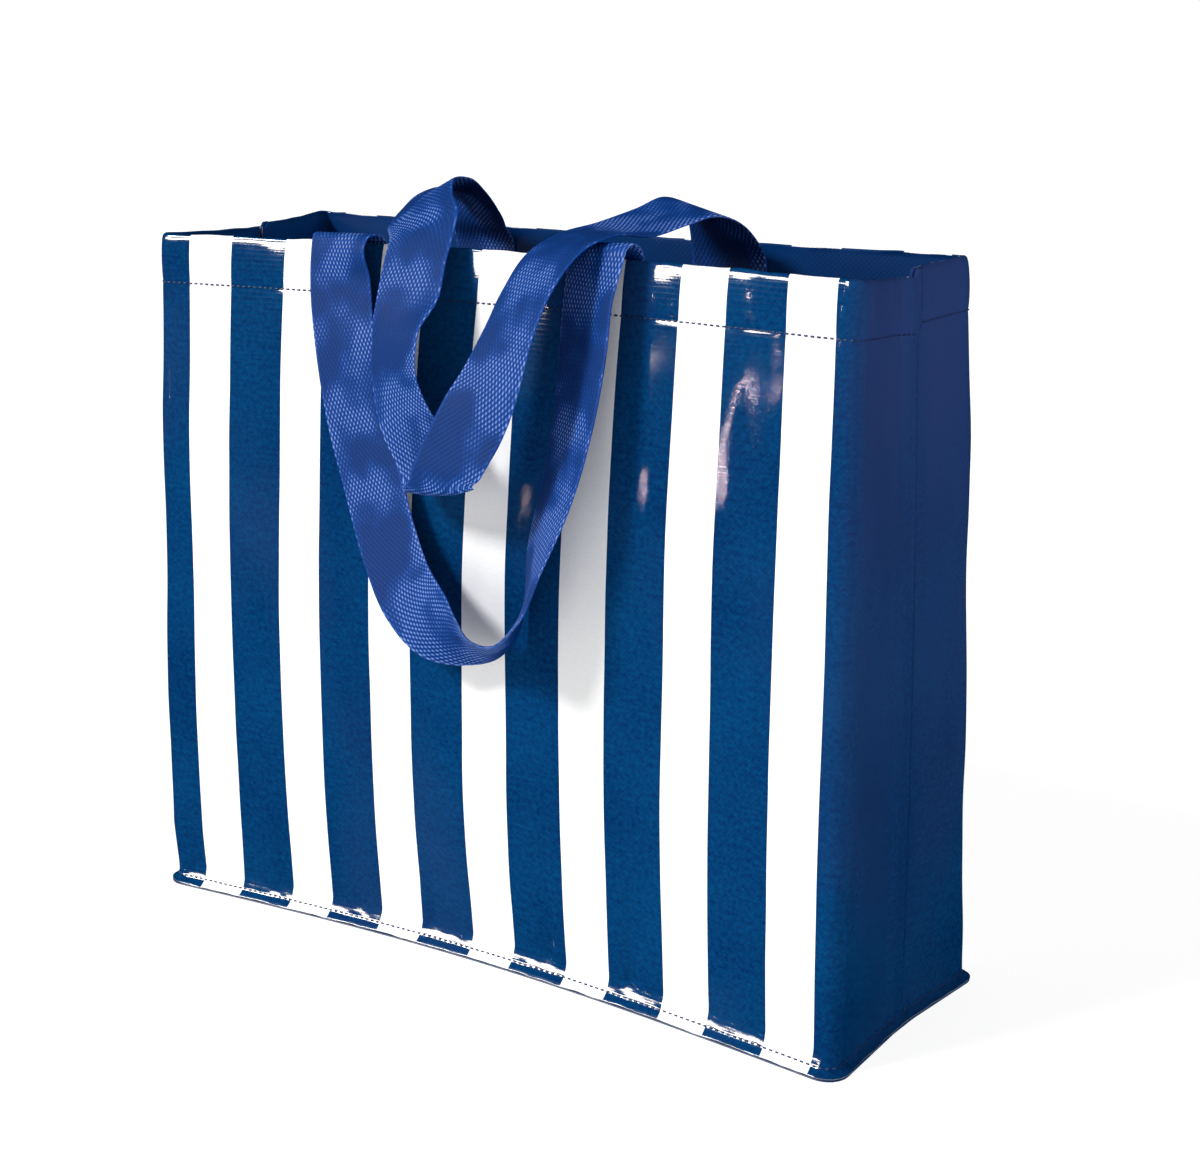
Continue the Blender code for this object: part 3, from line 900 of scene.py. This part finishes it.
def lining(name):
    """The smooth inner face of the same film, a shade duller."""
    material, tree, shader = new_material(name)
    weave, _ = tape_height(tree)
    cloud = noise(tree, cloth_place(tree, (1.0, 1.0)), 20.0, 4.0)
    amount = math_node(tree, "MULTIPLY_ADD", weave, 0.05, cloud)
    colour = tinted(tree, (0.001, 0.02, 0.1), (0.002, 0.05, 0.2), amount)
    tree.links.new(colour, shader.inputs["Base Color"])
    shader.inputs["Roughness"].default_value = 0.5
    shader.inputs["Specular IOR Level"].default_value = 0.05
    roughened(tree, shader, weave, 0.3, 0.0001)
    return material


def raw_edge(name):
    """The cut edge of the sheet, where the pale tapes show."""
    material, tree, shader = new_material(name)
    grain = noise(tree, cloth_place(tree, (1.0, 1.0)), 500.0)
    colour = tinted(tree, (0.05, 0.07, 0.13), (0.32, 0.33, 0.36), grain)
    tree.links.new(colour, shader.inputs["Base Color"])
    shader.inputs["Roughness"].default_value = 0.6
    return material


def webbing(name):
    """Woven webbing: pale raised threads over deep blue, partly painted sheen, strong in some
    places.
    """
    material, tree, shader = new_material(name)
    place = node(tree, "ShaderNodeUVMap", uv_map="cloth_way").outputs["UV"]
    split = node(tree, "ShaderNodeSeparateXYZ")
    tree.links.new(place, split.inputs[0])
    u, v = split.outputs[0], split.outputs[1]
    across = math_node(tree, "MULTIPLY", u, 2 * math.pi / (PEBBLE_ACROSS * MM))
    along = math_node(tree, "MULTIPLY", v, math.pi / (PEBBLE_ALONG * MM))
    cu = math_node(tree, "COSINE", across)
    cv = math_node(tree, "COSINE", along)
    peak = math_node(tree, "MULTIPLY_ADD", math_node(tree, "MULTIPLY", cu, cv), 0.5, 0.5)
    peak = math_node(tree, "POWER", peak, 1.7)
    selvedge = math_node(tree, "GREATER_THAN", math_node(tree, "ABSOLUTE", u), 0.0184)
    grain = noise(tree, place, 900.0, 3.0)
    # Painted highlight: the pale raised threads are partly painted sheen, strongest in random
    # patches.
    patchy_lightness = noise(tree, place, 55.0, 3.0)
    sheen_strength = ranged(tree, noise(tree, place, 26.0), 0.42, 0.56, 0.1, 1.1)
    blend = math_node(tree, "MULTIPLY_ADD", grain, 0.5, -0.4)
    blend = math_node(tree, "MULTIPLY_ADD", patchy_lightness, 0.3, blend)
    blend = math_node(tree, "MULTIPLY_ADD", peak, sheen_strength, blend)
    blend = math_node(tree, "MULTIPLY_ADD", selvedge, 0.22, blend)
    ramp = node(tree, "ShaderNodeValToRGB")
    ramp.color_ramp.elements[0].position = 0.1
    ramp.color_ramp.elements[0].color = (0.0, 0.028, 0.15, 1.0)
    ramp.color_ramp.elements[1].position = 1.0
    ramp.color_ramp.elements[1].color = (0.17, 0.27, 0.62, 1.0)
    ramp.color_ramp.elements.new(0.45).color = (0.003, 0.054, 0.29, 1.0)
    tree.links.new(blend, ramp.inputs[0])
    tree.links.new(ramp.outputs[0], shader.inputs["Base Color"])
    shader.inputs["Roughness"].default_value = 0.6
    shader.inputs["Specular IOR Level"].default_value = 0.08
    roughened(tree, shader, math_node(tree, "MULTIPLY_ADD", grain, 0.25, peak), 0.6, 0.0003)
    return material


def object_place(tree):
    return node(tree, "ShaderNodeTexCoord").outputs["Object"]


def thread_material(name, colour):
    """Twisted thread, lighter and darker along its length."""
    material, tree, shader = new_material(name)
    twist = noise(tree, object_place(tree), 1500.0)
    darker = [c * 0.6 for c in colour]
    lighter = [c * 1.4 for c in colour]
    tree.links.new(tinted(tree, darker, lighter, twist), shader.inputs["Base Color"])
    shader.inputs["Roughness"].default_value = 0.45
    return material


def floor_material():
    """A plain pale floor that is lit a little from within."""
    material, tree, shader = new_material("pale_floor")
    cloud = noise(tree, object_place(tree), 3.0)
    colour = tinted(tree, (0.28, 0.28, 0.28), (0.3, 0.3, 0.3), cloud)
    tree.links.new(colour, shader.inputs["Base Color"])
    shader.inputs["Emission Color"].default_value = (1.0, 1.0, 1.0, 1.0)
    shader.inputs["Emission Strength"].default_value = FLOOR_GLOW
    shader.inputs["Roughness"].default_value = 0.9
    shader.inputs["Specular IOR Level"].default_value = 0.0
    return material


# Camera, light and floor


def make_camera():
    data = bpy.data.cameras.new("camera")
    data.sensor_width = SENSOR
    data.lens = LENS_PIXELS / IMAGE_WIDTH * SENSOR
    data.shift_x = (IMAGE_WIDTH / 2 - CENTRE_ACROSS) / IMAGE_WIDTH
    data.shift_y = (CENTRE_DOWN - IMAGE_HEIGHT / 2) / IMAGE_WIDTH
    data.clip_end = 50.0
    ways = (Vector(CAMERA_RIGHT), -Vector(CAMERA_DOWN), -Vector(CAMERA_FORWARD))
    turn = Matrix(ways).transposed().to_4x4()
    camera = link(bpy.data.objects.new("camera", data))
    camera.matrix_world = Matrix.Translation(CAMERA_PLACE) @ turn
    bpy.context.scene.camera = camera


def area_light(name, place, target, size, power, colour):
    data = bpy.data.lights.new(name, "AREA")
    data.shape = "RECTANGLE"
    data.size, data.size_y = size
    data.energy = power
    data.color = colour
    light = link(bpy.data.objects.new(name, data))
    way = Vector(target) - Vector(place)
    turn = way.to_track_quat("-Z", "Y").to_matrix().to_4x4()
    light.matrix_world = Matrix.Translation(place) @ turn
    return light


def sun(name, way, strength, angle, colour=(1.0, 1.0, 1.0)):
    data = bpy.data.lights.new(name, "SUN")
    data.energy = strength
    data.angle = math.radians(angle)
    data.color = colour
    light = link(bpy.data.objects.new(name, data))
    light.matrix_world = Vector(way).to_track_quat("Z", "Y").to_matrix().to_4x4()
    return light


def lamp_seen_in_film(name, x, z, grid, angle, brightness, colour):
    """A small far lamp that the film at a place in the front mirrors to the camera."""
    low, high = 20, 150
    near = np.hypot(grid[:, :, 0] - x, grid[:, :, 2] - z)
    near[:, np.abs(grid[0, :, 1] + DEPTH / 2) > 40] = 999.0
    row, col = np.unravel_index(np.argmin(near[low:high]), near[low:high].shape)
    row += low
    along = grid[row, col + 6] - grid[row, col - 6]
    up = grid[row + 3, col] - grid[row - 3, col]
    normal = Vector(np.cross(along, up)).normalized()
    ray = (Vector(grid[row, col] * MM) - Vector(CAMERA_PLACE)).normalized()
    half = math.radians(angle) / 2
    way = ray - 2 * ray.dot(normal) * normal
    lamp = sun(name, way, brightness * math.pi * half**2, angle, colour)
    lamp.visible_diffuse = False


def make_world():
    """A dim sky over a bright ground."""
    world = bpy.data.worlds.new("studio")
    world.use_nodes = True
    tree = world.node_tree
    split = node(tree, "ShaderNodeSeparateXYZ")
    tree.links.new(node(tree, "ShaderNodeTexCoord").outputs["Generated"], split.inputs[0])
    ramp = node(tree, "ShaderNodeValToRGB")
    for stop, height, light in zip(ramp.color_ramp.elements, (0.1, 0.25), (1.05, SKY)):
        stop.position = height
        stop.color = (light, light, light, 1.0)
    tree.links.new(split.outputs[2], ramp.inputs[0])
    tree.links.new(ramp.outputs[0], tree.nodes["Background"].inputs["Color"])
    bpy.context.scene.world = world
    world.cycles_visibility.glossy = False


def make_studio():
    sun("key", KEY_FROM, KEY_STRENGTH, 14.0)
    fill = sun("fill", FILL_FROM, FILL_STRENGTH, 60.0)
    fill.visible_glossy = False
    middle = Vector((0.0, -0.07, 0.18))
    place = middle + LOW_DISTANCE * Vector(LOW_FROM).normalized()
    strip = area_light("low", place, middle, LOW_SIZE, LOW_POWER, (1.0, 0.9, 0.78))
    strip.visible_diffuse = False
    make_world()
    scene = bpy.context.scene
    scene.view_settings.view_transform = "Standard"
    scene.view_settings.look = "None"
    turns = ((-1, -1), (1, -1), (1, 1), (-1, 1))
    corners = [(FLOOR_REACH * x, FLOOR_REACH * y, 0) for x, y in turns]
    floor = mesh_object("floor", corners, [(0, 1, 2, 3)])
    floor.data.materials.append(floor_material())
    floor.visible_glossy = False


def main():
    make_camera()
    make_studio()
    blue = film("blue_film", BLUE_INKS_AND_REFLECTION, roughness=0.07, bump=0.04, specular=0.5)
    white = film("white_film", WHITE_INKS_AND_REFLECTION, roughness=0.3, bump=0.3, specular=0.3)
    navy = film("base_film", NAVY_INKS_AND_REFLECTION, roughness=0.3, bump=0.35, specular=0.5)
    edge = raw_edge("raw_edge")
    inside = lining("inside_weave")
    thread = thread_material("navy_thread", (0.006, 0.02, 0.09))
    sheet_look = [blue, white, inside, inside, inside, edge]

    front, front_grid = wall_sheet("front_cloth", NEAR, sheet_look)
    back, back_grid = wall_sheet("back_cloth", FAR, sheet_look)
    base = base_sheet("base_cloth", navy)
    front_strap, front_length = strap_mesh(
        "front_strap", front_handle_stations(), webbing("front_webbing"), 31
    )
    back_strap, back_length = strap_mesh(
        "back_strap", back_handle_stations(), webbing("back_webbing"), 32, 1.0
    )
    for name, x, z, angle, brightness, colour in GLINTS:
        lamp_seen_in_film(name, x, z, front_grid, angle, brightness, colour)
    parts = sheet_rows()
    hem_row = parts.index(("down", HEM_STITCH_DROP))
    base_row = parts.index(("up", 0.0))
    grids = (front_grid, back_grid)
    hem_thread = thread_line("hem_thread", [row_line(g, hem_row) for g in grids], thread)
    base_thread = thread_line("base_thread", [row_line(g, base_row) for g in grids], thread)

    for piece, cad, slot in (
        (front, "front_panel", "striped_film"),
        (back, "back_panel", "striped_film"),
        (base, "base_panel", "base_film"),
        (front_strap, "front_handle", "webbing"),
        (back_strap, "back_handle", "webbing"),
    ):
        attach(piece, "root")
        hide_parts(cad)
    for piece in (hem_thread, base_thread):
        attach(piece, "root")

    width = outline_columns(COLUMN_STEP)[1][-1] * MM


main()
